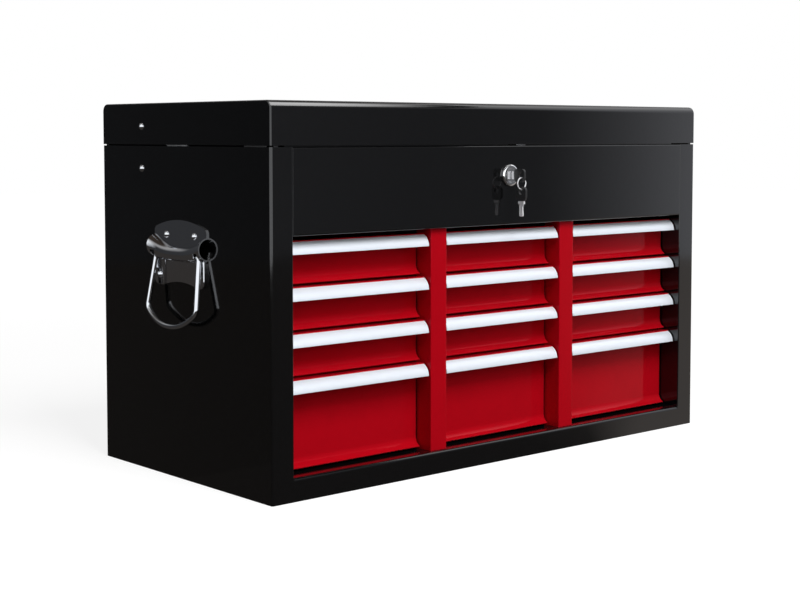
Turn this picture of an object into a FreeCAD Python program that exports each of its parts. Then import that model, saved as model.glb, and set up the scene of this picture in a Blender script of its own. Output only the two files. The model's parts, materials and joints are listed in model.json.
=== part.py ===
"""Portable tool box with drawers: a folded steel chest with a hinged lid over a top compartment,
and below it three columns of four red drawers with full-width aluminium pulls.

Millimetres, +Z up. The origin is the centre of the base face, the front looks towards -Y, and left is -X.
Each sub-part is written to parts/NAME.step.
"""
import FreeCAD, Part
import math
import os

V = FreeCAD.Vector

# Overall box
box_width = 560.0
box_depth = 270.0
box_height = 340.0
lid_height = 38.0
seam_gap = 1.2
sheet = 1.0
corner_radius = 2.0
overrun = 20.0
full_turn = 360.0

# Front frame of the body
side_post_width = 23.0
base_rail_height = 20.5
upper_panel_height = 75.0
return_depth = 26.0
panel_return_depth = 12.0
panel_lower_return_depth = 20.0
panel_seam_gap = 0.25
panel_tab_width = 14.0
panel_hem_height = 4.0
bend_radius = 0.9
panel_bend_radius = 1.5
ledge_bend_radius = 2.8
ledge_hem = 8.0
dust_tab_depth = 20.0
dust_tab_joggle = 0.3
dust_tab_joggle_drop = 3.0
pan_edge_height = 15.0
pan_sheet = 1.2
floor_edge_height = 12.0
liner_flange = 12.0

# Red centre posts and the partitions behind them
centre_post_width = 19.6
centre_post_offset = 86.0
centre_post_recess = 5.0
centre_post_side = 20.0

# Drawers
drawer_side_gap = 1.5
drawer_row_gap = 1.85
drawer_bottom_gap = 2.3
drawer_top_gap = 4.65
shallow_height = 37.9
drawer_sheet = 1.0
face_recess = 24.0
flange_recess = 12.6
pull_recess = 6.0
pull_height = 10.6
pull_thickness = 1.4
pull_leg_gap = 1.0
lip_radius = 9.0
lip_angle_deg = 68.0
tray_lift = 3.0
tray_side_drop = 2.0
tray_rear_gap = 8.0
columns = ("left", "middle", "right")
rows = (1, 2, 3, 4)

# Runner angles that carry the drawers
runner_sheet = 1.0
runner_leg = 9.0
runner_wall = 9.0
runner_gap = 0.3
runner_front_gap = 1.0
runner_rear_gap = 6.0

# Lid
lid_edge_radius = 7.0
lid_end_radius = 1.2

# Piano hinge
hinge_length = 500.0
knuckle_radius = 2.8
pin_radius = 1.5
pin_clearance = 0.05
knuckle_pairs = 6
knuckle_end_gap = 0.4
knuckle_relief = 0.3
hinge_end_gap = 1.0
leaf_sheet = 1.0
leaf_height = 27.0

# Lid stays: two links a side, hung from rivets that show on the outside
stay_pivot_setback = 69.6
stay_body_drop = 21.5
stay_lid_rise = 17.2
stay_width = 11.0
stay_sheet = 1.5
stay_gap = 0.3
stay_elbow_clearance = 0.25

# Rivets
rivet_head_radius = 3.4
rivet_head_height = 2.3
rivet_shank_radius = 2.2
rivet_fit = 0.05
rivet_tail_radius = 3.2
rivet_tail_height = 1.4

# Cam lock in the upper panel, and its keys
lock_height_below_seam = 28.1
bezel_radius = 10.2
bezel_rim = 1.2
bezel_height = 3.0
bezel_top_radius = 8.6
bezel_bulge = 0.4
barrel_radius = 9.3
barrel_length = 15.0
lock_fit = 0.05
plug_radius = 6.5
plug_setback = 0.2
nut_flats = 24.0
nut_height = 4.0
cam_sheet = 2.0
cam_reach = 26.0
cam_width = 10.0
cam_gap = 0.3
stub_side = 5.0
stub_spare = 1.0
keyway_clearance = 0.2
key_blade_length = 11.6
key_blade_width = 4.4
key_blade_sheet = 1.6
key_collar_length = 3.0
key_collar_width = 7.4
key_collar_sheet = 2.0
key_bow_length = 13.5
key_bow_width = 12.5
key_bow_sheet = 2.4
key_bow_corner = 4.0
key_hole_radius = 3.0
key_hole_inset = 4.5
key_stand_off = 1.2
ring_radius = 5.4
ring_wire_radius = 0.6
ring_play = 0.3

# Catch on the lid, behind the upper panel
catch_width = 11.5
catch_side_gap = 1.6
catch_sheet = 1.2
catch_setback = 4.5
catch_weld_height = 18.0
catch_step_rise = 4.0
catch_ledge_depth = 14.5
catch_ledge_gap = 2.5
catch_notch_margin = 2.5

# Drop handles on the two sides
handle_centre_height = 199.0
plate_sheet = 1.4
plate_half_width = 42.0
plate_crown_height = 35.8
plate_crown_radius = 120.0
plate_corner_radius = 5.0
plate_side_rise = 1.6
plate_side_step = 2.6
plate_arch_drop = 19.8
plate_arch_end_drop = 23.1
ear_inner = 24.5
ear_outer = 40.0
ear_drop = 23.7
ear_top_rise = 0.5
ear_hollow_drop = 10.0
ear_height = 1.8
ear_corner_radius = 6.0
ear_rim_chamfer = 0.6
upper_rivet_offset = 22.4
upper_rivet_rise = 22.0
lower_rivet_offset = 31.0
lower_rivet_drop = 14.6
hood_stations = (0.0, 14.0, 28.0, 42.0)
hood_radii = (6.5, 6.9, 8.3, 10.3)
hood_centre_offs = (2.0, 1.8, 0.9, 0.0)
hood_centre_rises = (5.0, 5.3, 7.3, 11.4)
hood_sheet = 1.2
bail_wire_radius = 2.25
bail_pivot_off = 4.2
bail_pivot_rise = 4.8
bail_lean_deg = 8.0
bail_top_half = 34.4
bail_shoulder_half = 39.4
bail_shoulder_drop = 49.8
bail_foot_half = 19.5
bail_depth = 64.5
bail_top_bend = 4.5
bail_shoulder_bend = 7.0
bail_foot_bend = 56.0
slot_margin = 0.9
slot_flare = 0.3
slot_bottom_drop = 9.0

# Places worked out from the sizes above
half_width = box_width / 2
front_y = -box_depth / 2
back_y = box_depth / 2
body_top = box_height - lid_height - seam_gap
lid_bottom = box_height - lid_height
opening_half = half_width - side_post_width
opening_top = body_top - upper_panel_height
opening_height = opening_top - base_rail_height
floor_bottom = opening_top + sheet
inner_front = front_y + sheet
inner_back = back_y - sheet
inner_half = half_width - sheet
liner_x = opening_half + sheet
web_half = centre_post_width / 2 - sheet
hinge_y = inner_back - leaf_sheet + knuckle_radius
hinge_z = body_top + seam_gap / 2
lock_z = body_top - lock_height_below_seam
stay_y = back_y - stay_pivot_setback
stay_body_z = hinge_z - stay_body_drop
stay_lid_z = hinge_z + stay_lid_rise
shallow_rows = len(rows) - 1
deep_height = (opening_height - drawer_bottom_gap - drawer_top_gap
               - shallow_rows * (shallow_height + drawer_row_gap))
lip_angle = math.radians(lip_angle_deg)
handle_rivet_places = [
    (side * offset, handle_centre_height + rise)
    for offset, rise in ((upper_rivet_offset, upper_rivet_rise), (lower_rivet_offset, -lower_rivet_drop))
    for side in (-1, 1)
]


def block(x0, x1, y0, y1, z0, z1):
    """A box between two corners."""
    return Part.makeBox(x1 - x0, y1 - y0, z1 - z0, V(x0, y0, z0))


def rod_x(x0, x1, y, z, radius):
    """A round bar along X."""
    return Part.makeCylinder(radius, x1 - x0, V(x0, y, z), V(1, 0, 0))


def rod_y(y0, y1, x, z, radius):
    """A round bar along Y."""
    return Part.makeCylinder(radius, y1 - y0, V(x, y0, z), V(0, 1, 0))


def arc_edge(a, b, c):
    """An arc from a through b to c."""
    return Part.Arc(a, b, c).toShape()


def line_edge(a, b):
    """A straight edge."""
    return Part.LineSegment(a, b).toShape()


def rivet_x(seat, rear, y, z, collar_start, collar_end):
    """A rivet along X with a domed head at seat and a flat tail at rear, and a collar where one is wanted."""
    ball = (rivet_head_radius ** 2 + rivet_head_height ** 2) / (2 * rivet_head_height)
    middle = math.asin(rivet_head_radius / ball) / 2
    crown = seat - rivet_head_height

    def at(x, radius):
        return V(x, y, z + radius)

    steps = [(seat, rivet_head_radius), (seat, rivet_shank_radius)]
    if collar_end > collar_start:
        steps += [(collar_start, rivet_shank_radius), (collar_start, rivet_tail_radius),
                  (collar_end, rivet_tail_radius), (collar_end, rivet_shank_radius)]
    steps += [(rear, rivet_shank_radius), (rear, rivet_tail_radius),
              (rear + rivet_tail_height, rivet_tail_radius), (rear + rivet_tail_height, 0)]
    corners = [at(x, radius) for x, radius in steps]
    edges = [line_edge(a, b) for a, b in zip(corners, corners[1:])]
    edges.append(line_edge(corners[-1], at(crown, 0)))
    edges.append(arc_edge(at(crown, 0), at(crown + ball - ball * math.cos(middle), ball * math.sin(middle)),
                          corners[0]))
    return Part.Face(Part.Wire(edges)).revolve(V(0, y, z), V(1, 0, 0), full_turn)


def solid_from(edges, along):
    """A closed outline swept straight along a vector."""
    return Part.Face(Part.Wire(edges)).extrude(along)


def fillet_where(shape, radius, test):
    """Rounds the edges whose middle and direction pass the test."""
    chosen = [edge for edge in shape.Edges if test(edge)]
    return shape.makeFillet(radius, chosen)


def mid(edge):
    """The middle of an edge's bounding box."""
    return edge.BoundBox.Center


def along_x(edge):
    """True for an edge parallel to X."""
    return edge.BoundBox.YLength < bend_radius / 2 and edge.BoundBox.ZLength < bend_radius / 2


def along_z(edge):
    """True for an edge parallel to Z."""
    return edge.BoundBox.XLength < bend_radius / 2 and edge.BoundBox.YLength < bend_radius / 2


def near(value, target):
    """True where two places differ by less than half a bend."""
    return abs(value - target) < bend_radius / 2


def turned_to(shape, side):
    """The shape as modelled for the left side, or its mirror image for the right one."""
    return shape if side < 0 else shape.mirror(V(0, 0, 0), V(1, 0, 0))


def hinge_slot():
    """The space that the hinge's knuckles need in the back wall and in the lid's rear skirt."""
    half = hinge_length / 2 + hinge_end_gap
    reach = knuckle_radius + knuckle_relief
    return block(-half, half, inner_back - sheet, back_y + overrun, hinge_z - reach, hinge_z + reach)


def body_shell():
    """Sides, back and front frame: one folded wrapper with its returns and the ledge under the drawers."""
    outer = block(-half_width, half_width, front_y, back_y, 0, body_top)
    outer = fillet_where(outer, corner_radius, along_z)
    inner = block(-inner_half, inner_half, inner_front, inner_back, -overrun, body_top + overrun)
    inner = fillet_where(inner, corner_radius - sheet, along_z)
    shell = outer.cut(inner)
    shell = shell.cut(block(-opening_half, opening_half, front_y - overrun, inner_front + overrun,
                            base_rail_height, body_top + overrun))
    back_of_return = inner_front + return_depth
    pieces = [
        block(opening_half, liner_x, inner_front, back_of_return, base_rail_height - sheet, opening_top),
        block(-liner_x, -opening_half, inner_front, back_of_return, base_rail_height - sheet, opening_top),
        block(-liner_x, liner_x, inner_front, back_of_return, base_rail_height - sheet, base_rail_height),
        block(-opening_half, opening_half, back_of_return - sheet, back_of_return,
              base_rail_height - ledge_hem, base_rail_height),
    ]
    shell = shell.fuse(pieces).removeSplitter()
    shell = fillet_where(
        shell, bend_radius,
        lambda e: near(mid(e).y, front_y) and along_z(e)
        and near(abs(mid(e).x), opening_half) and mid(e).z < opening_top)
    corner = block(-opening_half, opening_half, front_y, front_y + ledge_bend_radius,
                   base_rail_height - ledge_bend_radius, base_rail_height)
    shell = shell.cut(corner).fuse([ledge_bend(corner)] + dust_tabs()).removeSplitter()
    shell = shell.cut(hinge_slot())
    holes = [rod_x(-half_width - overrun, half_width + overrun, y, z, rivet_shank_radius + rivet_fit)
             for y, z in handle_rivet_places + [(stay_y, stay_body_z)]]
    return shell.cut(holes)


def ledge_bend(corner):
    """The rounded bend from the base rail to the ledge under the drawers."""
    axis_y = front_y + ledge_bend_radius
    axis_z = base_rail_height - ledge_bend_radius
    outer = rod_x(-opening_half, opening_half, axis_y, axis_z, ledge_bend_radius)
    inner = rod_x(-opening_half, opening_half, axis_y, axis_z, ledge_bend_radius - sheet)
    return outer.common(corner).cut(inner)


def dust_tabs():
    """The joggled tabs at the two rear corners, which close the seam beside the hinge."""
    start = hinge_length / 2 + 2 * hinge_end_gap
    end = inner_half - corner_radius
    low = body_top - dust_tab_depth
    joggle = body_top - dust_tab_joggle_drop
    tabs = []
    for side in (-1, 1):
        x0, x1 = sorted((side * start, side * end))
        foot = block(x0, x1, inner_back - sheet, inner_back, low, joggle)
        head = block(x0, x1, inner_back - sheet - dust_tab_joggle, inner_back - dust_tab_joggle,
                     joggle - sheet, body_top + panel_hem_height)
        tabs.append(foot.fuse(head))
    return tabs


def base_pan():
    """The bottom sheet with its edges turned up inside the walls."""
    outer = block(-inner_half, inner_half, inner_front, inner_back, 0, pan_edge_height)
    outer = fillet_where(outer, corner_radius, along_z)
    inner = block(-inner_half + pan_sheet, inner_half - pan_sheet, inner_front + pan_sheet,
                  inner_back - pan_sheet, pan_sheet, pan_edge_height + overrun)
    return outer.cut(inner)


def upper_panel():
    """The fixed front above the drawers, with returned edges, a lock hole and a gap for the catch."""
    half = opening_half - panel_seam_gap
    hem_back = inner_front + panel_return_depth
    pieces = [
        block(-half, half, inner_front, hem_back, body_top - sheet, body_top),
        block(-half, half, hem_back - sheet, hem_back, body_top - sheet, body_top + panel_hem_height),
        block(-half, half, inner_front, inner_front + panel_lower_return_depth, opening_top, floor_bottom),
    ]
    for side in (-1, 1):
        inner_x, outer_x = half - panel_tab_width, opening_half + panel_tab_width
        ends = sorted((side * inner_x, side * outer_x))
        pieces.append(block(ends[0], ends[1], inner_front, inner_front + sheet,
                            floor_bottom, body_top - sheet))
    panel = block(-half, half, front_y, inner_front, opening_top, body_top).fuse(pieces).removeSplitter()
    panel = fillet_where(
        panel, panel_bend_radius,
        lambda e: along_x(e) and near(mid(e).y, front_y)
        and (near(mid(e).z, body_top) or near(mid(e).z, opening_top)))
    panel = panel.cut(rod_y(front_y - overrun, front_y + overrun, 0, lock_z, barrel_radius + lock_fit))
    low, high = catch_span()
    notch = block(low - catch_notch_margin, high + catch_notch_margin, inner_front, front_y + overrun,
                  body_top - sheet - bend_radius, body_top + overrun)
    return panel.cut(notch)


def liner(side):
    """The inner side sheet that carries one wall of runners."""
    height = block(liner_x, liner_x + sheet, inner_front, inner_back, pan_sheet, floor_bottom)
    top = block(liner_x, liner_x + liner_flange, inner_front, inner_back, floor_bottom - sheet, floor_bottom)
    foot = block(liner_x, liner_x + liner_flange, inner_front + pan_sheet, inner_back - pan_sheet,
                 pan_sheet, pan_sheet + sheet)
    wall = height.fuse([top, foot]).removeSplitter()
    edge = block(liner_x - overrun, liner_x + overrun, front_y, inner_front + pan_sheet, 0, pan_edge_height)
    rear = block(liner_x - overrun, liner_x + overrun, inner_back - pan_sheet, back_y, 0, pan_edge_height)
    return turned_to(wall.cut([edge, rear]), -side)


def partition(side):
    """The upright channel between two columns, open at the back, notched round the front frame."""
    centre = side * centre_post_offset
    front = front_y + centre_post_recess + sheet
    outer = block(centre - web_half, centre + web_half, front, inner_back, pan_sheet, floor_bottom)
    inner = block(centre - web_half + sheet, centre + web_half - sheet, front + sheet, back_y + overrun,
                  0, floor_bottom + overrun)
    channel = outer.cut(inner)
    low = block(centre - overrun, centre + overrun, front_y, inner_front + return_depth, 0, base_rail_height)
    high = block(centre - overrun, centre + overrun, front_y, inner_front + panel_lower_return_depth,
                 opening_top, floor_bottom + overrun)
    rear = block(centre - overrun, centre + overrun, inner_back - pan_sheet, back_y, 0, pan_edge_height)
    return channel.cut([low, high, rear])


def centre_post(side):
    """The red post between two columns: a face with its sides folded back over the partition."""
    centre = side * centre_post_offset
    half = centre_post_width / 2
    front = front_y + centre_post_recess
    outer = block(centre - half, centre + half, front, front + centre_post_side,
                  base_rail_height, opening_top)
    outer = fillet_where(outer, bend_radius, lambda e: along_z(e) and near(mid(e).y, front))
    inner = block(centre - half + sheet, centre + half - sheet, front + sheet,
                  front + centre_post_side + overrun, 0, body_top)
    return outer.cut(inner)


def compartment_floor():
    """The floor of the top compartment, its ends and back turned up against the walls."""
    base = block(-inner_half, inner_half, inner_front + sheet, inner_back, floor_bottom, floor_bottom + sheet)
    pieces = [
        block(-inner_half, -inner_half + sheet, inner_front + sheet, inner_back - corner_radius,
              floor_bottom, floor_bottom + floor_edge_height),
        block(inner_half - sheet, inner_half, inner_front + sheet, inner_back - corner_radius,
              floor_bottom, floor_bottom + floor_edge_height),
        block(-inner_half + corner_radius, inner_half - corner_radius, inner_back - sheet, inner_back,
              floor_bottom, floor_bottom + floor_edge_height),
    ]
    floor = base.fuse(pieces).removeSplitter()
    corners = block(-inner_half - overrun, -inner_half + corner_radius, inner_back - corner_radius,
                    back_y, 0, body_top)
    return floor.cut([corners, corners.mirror(V(0, 0, 0), V(1, 0, 0))])


def column_span(column):
    """The clear width of a column, from its left wall to its right wall."""
    near_post = centre_post_offset + centre_post_width / 2
    far_post = centre_post_offset - centre_post_width / 2
    spans = {
        "left": (-opening_half, -near_post),
        "middle": (-far_post, far_post),
        "right": (near_post, opening_half),
    }
    return spans[column]


def row_span(row):
    """The lowest and highest level of a drawer front."""
    if row == len(rows):
        low = base_rail_height + drawer_bottom_gap
        return low, low + deep_height
    high = opening_top - drawer_top_gap - (row - 1) * (shallow_height + drawer_row_gap)
    return high - shallow_height, high


def runners(column):
    """The angle runners of one column: a pair for each drawer, welded to its two walls."""
    left, right = column_span(column)
    start = inner_front + return_depth + runner_front_gap
    end = inner_back - runner_rear_gap
    solids = []
    for row in rows:
        top = row_span(row)[0] + tray_lift - runner_gap
        for wall, inward in ((left, 1), (right, -1)):
            face = wall - inward * runner_sheet
            leg = sorted((face, face + inward * runner_leg))
            upright = sorted((face, face + inward * runner_sheet))
            foot = block(leg[0], leg[1], start, end, top - runner_sheet, top)
            back = block(upright[0], upright[1], start, end, top - runner_sheet, top + runner_wall)
            solids.append(foot.fuse(back).removeSplitter())
    return Part.makeCompound(solids)


def front_point(x, recess, z):
    """A point of the drawer front, by how far it lies behind the front plane."""
    return V(x, front_y + recess, z)


def drawer_tray(column, row):
    """A drawer: its box, and the front with a top flange for the pull and a flared bottom lip."""
    left, right = column_span(column)
    x0, x1 = left + drawer_side_gap, right - drawer_side_gap
    low, high = row_span(row)
    lip_back = lip_radius + drawer_sheet
    lip_z = low + lip_back * math.sin(lip_angle)
    lip_axis = face_recess - lip_radius

    def lip(radius, angle):
        return front_point(x0, lip_axis + radius * math.cos(angle), lip_z - radius * math.sin(angle))

    corners = [
        front_point(x0, flange_recess, high),
        front_point(x0, face_recess + drawer_sheet, high),
        lip(lip_back, 0),
        lip(lip_back, lip_angle),
        lip(lip_radius, lip_angle),
        lip(lip_radius, 0),
        front_point(x0, face_recess, high - drawer_sheet),
        front_point(x0, flange_recess, high - drawer_sheet),
    ]
    edges = [
        line_edge(corners[0], corners[1]),
        line_edge(corners[1], corners[2]),
        arc_edge(corners[2], lip(lip_back, lip_angle / 2), corners[3]),
        line_edge(corners[3], corners[4]),
        arc_edge(corners[4], lip(lip_radius, lip_angle / 2), corners[5]),
        line_edge(corners[5], corners[6]),
        line_edge(corners[6], corners[7]),
        line_edge(corners[7], corners[0]),
    ]
    front = solid_from(edges, V(x1 - x0, 0, 0))
    box_front = front_y + face_recess
    box_back = inner_back - tray_rear_gap
    outer = block(x0, x1, box_front, box_back, low + tray_lift, high - tray_side_drop)
    inner = block(x0 + drawer_sheet, x1 - drawer_sheet, box_front - overrun, box_back - drawer_sheet,
                  low + tray_lift + drawer_sheet, high + overrun)
    return front.fuse(outer.cut(inner)).removeSplitter()


def drawer_pull(column, row):
    """The full-width aluminium pull: a leg under the drawer's flange and a curved blade in front."""
    left, right = column_span(column)
    x0, x1 = left + drawer_side_gap, right - drawer_side_gap
    top = row_span(row)[1] - drawer_sheet
    foot = top - pull_height
    run = flange_recess - pull_recess
    radius = (run ** 2 + pull_height ** 2) / (2 * run)
    axis = pull_recess + radius
    inner = radius - pull_thickness
    leg_low = top - pull_thickness
    leg_back = face_recess - pull_leg_gap
    start = math.asin(pull_height / radius)
    stop = math.asin((leg_low - foot) / inner)

    def blade(r, angle):
        return front_point(x0, axis - r * math.cos(angle), foot + r * math.sin(angle))

    corners = [
        front_point(x0, flange_recess, top),
        front_point(x0, leg_back, top),
        front_point(x0, leg_back, leg_low),
        blade(inner, stop),
        blade(inner, 0),
        blade(radius, 0),
    ]
    edges = [
        line_edge(corners[0], corners[1]),
        line_edge(corners[1], corners[2]),
        line_edge(corners[2], corners[3]),
        arc_edge(corners[3], blade(inner, stop / 2), corners[4]),
        line_edge(corners[4], corners[5]),
        arc_edge(corners[5], blade(radius, start / 2), corners[0]),
    ]
    return solid_from(edges, V(x1 - x0, 0, 0))


def lid_outline(inset, x):
    """The lid's section: straight skirts and a top with rounded front and rear edges."""
    low_front = V(x, front_y + inset, lid_bottom)
    low_back = V(x, back_y - inset, lid_bottom)
    radius = lid_edge_radius - inset
    top = box_height - inset
    bend = radius * (1 - math.sqrt(2) / 2)
    front_low = V(x, front_y + inset, top - radius)
    front_mid = V(x, front_y + inset + bend, top - bend)
    front_high = V(x, front_y + inset + radius, top)
    back_high = V(x, back_y - inset - radius, top)
    back_mid = V(x, back_y - inset - bend, top - bend)
    back_low = V(x, back_y - inset, top - radius)
    return [
        line_edge(low_front, front_low),
        arc_edge(front_low, front_mid, front_high),
        line_edge(front_high, back_high),
        arc_edge(back_high, back_mid, back_low),
        line_edge(back_low, low_back),
        line_edge(low_back, low_front),
    ]


def lid_shell():
    """The lid: a wrapped sheet with flat ends, relieved over the hinge knuckles."""
    outer = solid_from(lid_outline(0, -half_width), V(box_width, 0, 0))
    outer = fillet_where(
        outer, lid_end_radius,
        lambda e: near(abs(mid(e).x), half_width) and e.BoundBox.XLength < bend_radius
        and mid(e).z > lid_bottom + bend_radius)
    inner = solid_from(lid_outline(sheet, -inner_half), V(2 * inner_half, 0, 0))
    slot = block(-inner_half, inner_half, inner_front, inner_back, lid_bottom - overrun, lid_bottom + sheet)
    holes = rod_x(-half_width - overrun, half_width + overrun, stay_y, stay_lid_z,
                  rivet_shank_radius + rivet_fit)
    return outer.cut([inner, slot, hinge_slot(), holes])


def catch_span():
    """The catch's place beside the lock nut, from its near side to its far side."""
    nut_corner = nut_flats / math.sqrt(3)
    low = nut_corner + catch_side_gap
    return low, low + catch_width


def lid_catch():
    """The bent strip under the lid's front that the cam holds down."""
    low, high = catch_span()
    leg_front = inner_front + catch_setback
    leg_back = leg_front + catch_sheet
    ledge = lock_z - cam_width / 2 - catch_ledge_gap
    step = lid_bottom + catch_step_rise
    pieces = [
        block(low, high, inner_front, leg_back, step, step + catch_sheet),
        block(low, high, leg_front, leg_back, ledge - catch_sheet, step + catch_sheet),
        block(low, high, leg_front, leg_front + catch_ledge_depth, ledge - catch_sheet, ledge),
    ]
    weld = block(low, high, inner_front, inner_front + catch_sheet, step, step + catch_weld_height)
    return weld.fuse(pieces).removeSplitter()


def knuckle_spans(first):
    """The stretches of knuckles along the hinge that belong to one leaf."""
    pitch = hinge_length / (2 * knuckle_pairs)
    starts = [-hinge_length / 2 + (2 * n + first) * pitch for n in range(knuckle_pairs)]
    return [(start + knuckle_end_gap / 2, start + pitch - knuckle_end_gap / 2) for start in starts]


def hinge_leaf(first, up):
    """One leaf of the piano hinge with its half of the knuckles."""
    z0, z1 = sorted((hinge_z, hinge_z + up * leaf_height))
    leaf = block(-hinge_length / 2, hinge_length / 2, inner_back - leaf_sheet, inner_back, z0, z1)
    reach = knuckle_radius + knuckle_relief
    clear = [block(a - knuckle_end_gap, b + knuckle_end_gap, inner_back - leaf_sheet, inner_back,
                   hinge_z - reach, hinge_z + reach) for a, b in knuckle_spans(1 - first)]
    own = [rod_x(a, b, hinge_y, hinge_z, knuckle_radius) for a, b in knuckle_spans(first)]
    bore = rod_x(-hinge_length, hinge_length, hinge_y, hinge_z, pin_radius + pin_clearance)
    return leaf.cut(clear).fuse(own).removeSplitter().cut(bore)


def hinge_pin():
    """The wire through the knuckles."""
    return rod_x(-hinge_length / 2, hinge_length / 2, hinge_y, hinge_z, pin_radius)


def bar_link(y0, z0, y1, z1, x0, x1, hole_start, hole_end):
    """A flat link with round ends between two pivots, with a hole at each that has one."""
    radius = stay_width / 2
    run = V(0, y1 - y0, z1 - z0)
    normal = V(0, run.z, -run.y).normalize() * radius
    ahead = V(run).normalize() * radius
    a, b = V(x0, y0, z0), V(x0, y1, z1)
    edges = [
        line_edge(a + normal, b + normal),
        arc_edge(b + normal, b + ahead, b - normal),
        line_edge(b - normal, a - normal),
        arc_edge(a - normal, a - ahead, a + normal),
    ]
    link = solid_from(edges, V(x1 - x0, 0, 0))
    cuts = [rod_x(x0 - stay_sheet, x1 + stay_sheet, y, z, hole)
            for y, z, hole in ((y0, z0, hole_start), (y1, z1, hole_end)) if hole]
    return link.cut(cuts)


def stay_elbow():
    """The elbow of the stay at rest: the fourth corner of the parallelogram with the hinge."""
    return stay_y + (stay_y - hinge_y), stay_body_z + (stay_lid_z - hinge_z)


def stay_planes():
    """The X places of the two links on the left side, from the wall inwards."""
    lower0 = -inner_half + stay_gap
    lower1 = lower0 + stay_sheet
    upper0 = lower1 + stay_gap
    return lower0, lower1, upper0, upper0 + stay_sheet


def stay_lower(side):
    """The link hung from the body, with the elbow stud riveted in its free end."""
    lower0, lower1, upper0, upper1 = stay_planes()
    ey, ez = stay_elbow()
    link = bar_link(stay_y, stay_body_z, ey, ez, lower0, lower1, rivet_shank_radius + rivet_fit, 0)
    stud = rod_x(lower0, upper1 + stay_gap, ey, ez, rivet_shank_radius)
    head = rod_x(upper1 + stay_gap, upper1 + stay_gap + rivet_tail_height, ey, ez, rivet_tail_radius)
    return turned_to(link.fuse([stud, head]).removeSplitter(), side)


def stay_upper(side):
    """The link hung from the lid, with the elbow hole."""
    lower0, lower1, upper0, upper1 = stay_planes()
    ey, ez = stay_elbow()
    link = bar_link(stay_y, stay_lid_z, ey, ez, upper0, upper1,
                    rivet_shank_radius + rivet_fit, rivet_shank_radius + stay_elbow_clearance)
    return turned_to(link, side)


def stay_rivets(z, link_start, link_end):
    """The pair of rivets at one level, each with its head outside and a collar up to its link."""
    rivet = rivet_x(-half_width, link_end + stay_gap, stay_y, z, -inner_half, link_start - stay_gap)
    return Part.makeCompound([turned_to(rivet, side) for side in (-1, 1)])


def stay_body_rivets():
    """The rivets through the body's sides."""
    lower0, lower1, upper0, upper1 = stay_planes()
    return stay_rivets(stay_body_z, lower0, lower1)


def stay_lid_rivets():
    """The rivets through the lid's ends."""
    lower0, lower1, upper0, upper1 = stay_planes()
    return stay_rivets(stay_lid_z, upper0, upper1)


def lock_housing():
    """The lock's bezel and barrel, turned about the lock's axis and bored for the plug."""
    outline = [
        (0, 0), (bezel_radius, 0), (bezel_radius, bezel_rim), (bezel_top_radius, bezel_height),
        (0, bezel_height),
    ]
    points = [V(r, front_y - off, lock_z) for r, off in outline]
    bulge = V((bezel_radius + bezel_top_radius) / 2 + bezel_bulge,
              front_y - (bezel_rim + bezel_height) / 2 - bezel_bulge, lock_z)
    edges = [
        line_edge(points[0], points[1]),
        line_edge(points[1], points[2]),
        arc_edge(points[2], bulge, points[3]),
        line_edge(points[3], points[4]),
        line_edge(points[4], points[0]),
    ]
    bezel = Part.Face(Part.Wire(edges)).revolve(V(0, 0, lock_z), V(0, 1, 0), full_turn)
    barrel = rod_y(front_y, front_y + barrel_length, 0, lock_z, barrel_radius)
    bore = rod_y(front_y - overrun, front_y + overrun, 0, lock_z, plug_radius + lock_fit)
    return bezel.fuse(barrel).removeSplitter().cut(bore)


def lock_nut():
    """The hexagon nut behind the panel."""
    corner = nut_flats / math.sqrt(3)
    points = [V(corner * math.cos(math.radians(a)), inner_front, lock_z + corner * math.sin(math.radians(a)))
              for a in range(0, 360, 60)]
    edges = [line_edge(points[n - 1], points[n]) for n in range(len(points))]
    nut = solid_from(edges, V(0, nut_height, 0))
    return nut.cut(rod_y(front_y, front_y + overrun, 0, lock_z, barrel_radius + lock_fit))


def lock_plug():
    """The turning plug with its keyway, and the square stub that drives the cam."""
    face = front_y - bezel_height + plug_setback
    rear = front_y + barrel_length + cam_gap
    plug = rod_y(face, rear, 0, lock_z, plug_radius)
    stub = block(-stub_side / 2, stub_side / 2, rear, rear + cam_sheet + stub_spare,
                 lock_z - stub_side / 2, lock_z + stub_side / 2)
    half_thick = key_blade_sheet / 2 + keyway_clearance
    half_tall = key_blade_width / 2 + keyway_clearance
    keyway = block(-half_thick, half_thick, face - overrun,
                   front_y - bezel_height - key_stand_off + key_blade_length + stub_spare,
                   lock_z - half_tall, lock_z + half_tall)
    return plug.fuse(stub).removeSplitter().cut(keyway)


def lock_cam():
    """The cam on the plug's stub: it points up when unlocked and turns over the catch."""
    rear = front_y + barrel_length + cam_gap
    half = cam_width / 2
    straight = block(-half, half, rear, rear + cam_sheet, lock_z, lock_z + cam_reach - half)
    ends = [rod_y(rear, rear + cam_sheet, 0, lock_z, half),
            rod_y(rear, rear + cam_sheet, 0, lock_z + cam_reach - half, half)]
    cam = straight.fuse(ends).removeSplitter()
    return cam.cut(block(-stub_side / 2, stub_side / 2, rear, rear + cam_sheet,
                         lock_z - stub_side / 2, lock_z + stub_side / 2))


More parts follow.
